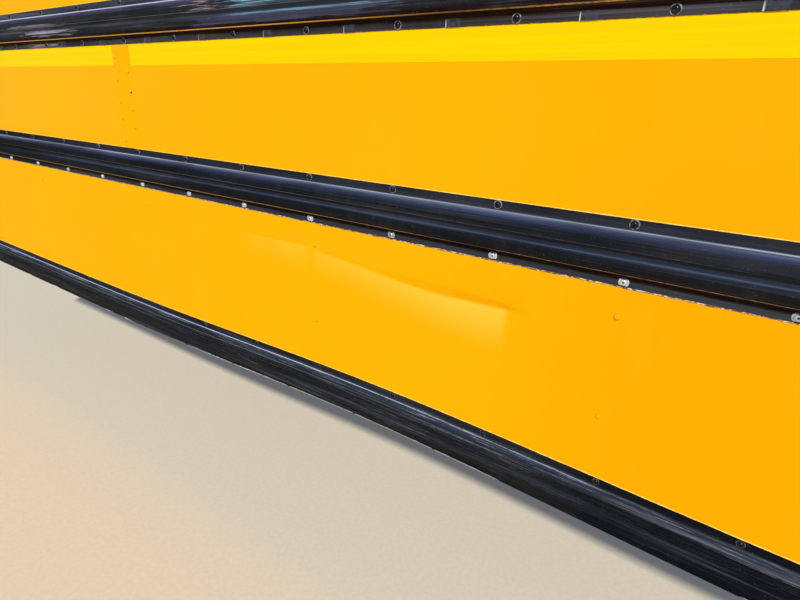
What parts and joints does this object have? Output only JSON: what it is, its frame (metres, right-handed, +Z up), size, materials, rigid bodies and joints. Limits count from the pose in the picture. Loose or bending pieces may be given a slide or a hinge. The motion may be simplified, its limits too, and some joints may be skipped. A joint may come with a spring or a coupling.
{
  "type": "school bus side wall section",
  "caption": "Lower side wall of a school bus body with rub rails, reflective tape, posts, skirt braces, floor ledge, seat rail and inner lining.",
  "frame": {"origin": "on the inner face of the floor ledge's upright leg, midway along the section, level with the middle of the floor-line rub rail", "axes": "+X along the bus, to the right seen from outside; +Y into the bus; +Z up"},
  "size_m": [3.656, 0.123, 1.3965],
  "materials": {
    "bus_yellow": "gloss",
    "rail_black": "gloss, worn",
    "reflective_yellow": "retroreflective film",
    "frame_steel": "galvanised",
    "ledge_steel": "galvanised",
    "undercoat": "matt undercoat",
    "seat_rail_steel": "satin",
    "liner_grey": "satin"
  },
  "bodies": {
    "root": {"side_sheet_left": "bus_yellow", "side_sheet_right": "bus_yellow", "seam_strip": "bus_yellow", "skirt_sheet": "bus_yellow", "window_sill": "bus_yellow", "seat_level_rail": "rail_black", "floor_line_rail": "rail_black", "skirt_rail": "rail_black", "reflective_tape_left": "reflective_yellow", "reflective_tape_right": "reflective_yellow", "post_1": "frame_steel", "post_2": "frame_steel", "post_3": "frame_steel", "post_4": "frame_steel", "post_5": "frame_steel", "post_6": "frame_steel", "skirt_brace_1": "undercoat", "skirt_brace_2": "undercoat", "skirt_brace_3": "undercoat", "skirt_brace_4": "undercoat", "skirt_brace_5": "undercoat", "skirt_brace_6": "undercoat", "skirt_gusset_1": "undercoat", "skirt_gusset_2": "undercoat", "skirt_gusset_3": "undercoat", "skirt_gusset_4": "undercoat", "skirt_gusset_5": "undercoat", "skirt_gusset_6": "undercoat", "floor_ledge": "ledge_steel", "seat_rail": "seat_rail_steel", "kick_panel_left": "liner_grey", "kick_panel_right": "liner_grey", "side_liner_left": "liner_grey", "side_liner_right": "liner_grey"}
  },
  "joints": []
}
